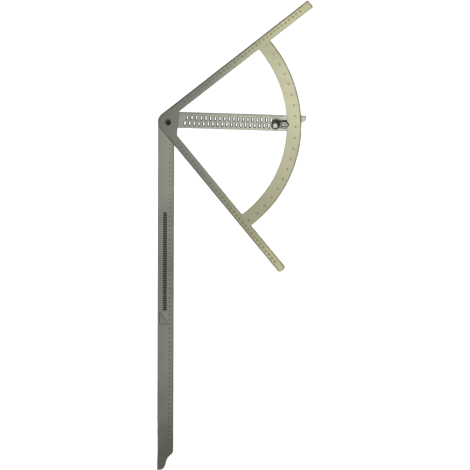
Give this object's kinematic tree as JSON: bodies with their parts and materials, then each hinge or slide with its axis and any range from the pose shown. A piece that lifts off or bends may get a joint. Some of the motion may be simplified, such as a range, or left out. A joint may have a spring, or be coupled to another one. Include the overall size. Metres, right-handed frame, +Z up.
{
  "type": "set square",
  "caption": "L-shaped steel carpenter's square with a slotted short leg and a pivoting V-shaped protractor frame whose arc is locked by a knob and clamp shoe.",
  "frame": {"origin": "centre of the underside of the object's bounding box, on the surface the square lies on", "axes": "+X along the short leg, away from the blade; +Y from the blade's tip towards the corner; +Z up through the sheet, from the square to the knob"},
  "size_m": [0.33, 1.054, 0.0192],
  "materials": {
    "steel": "brushed stainless, slightly warm",
    "frame_steel": "brushed stainless, a little lighter",
    "chrome": "bright",
    "zinc": "zinc plated, satin",
    "dark_steel": "blackened",
    "black_plastic": "knurled, matte",
    "brass": "turned",
    "nylon": "matte"
  },
  "bodies": {
    "square": {"square_plate": "steel", "pivot_rivet": "dark_steel", "pivot_washer": "zinc", "friction_washer": "nylon", "lock_screw": "zinc"},
    "protractor": {"protractor_frame": "frame_steel"},
    "clamp": {"clamp_shoe": "chrome", "lock_washer": "zinc"},
    "knob": {"lock_knob": "black_plastic", "knob_insert": "brass", "knob_cap": "chrome"}
  },
  "joints": [
    {"name": "protractor_swing", "type": "hinge", "parent": "square", "child": "protractor", "pos_m": [-0.14245, 0.2525, 0.00425], "axis": [0, 0, 1], "range_deg": [-38, 48]},
    {"name": "clamp_lift", "type": "slide", "parent": "square", "child": "clamp", "axis": [0, 0, 1], "range_m": [0, 0.0015]},
    {"name": "knob_turn", "type": "hinge", "parent": "clamp", "child": "knob", "pos_m": [0.08855, 0.2555, 0.014], "axis": [0, 0, 1], "range_deg": [0, 540]}
  ],
  "couplings": [
    {"joint": "knob_turn", "follows": "clamp_lift", "rad_per_m": 6283.2}
  ]
}
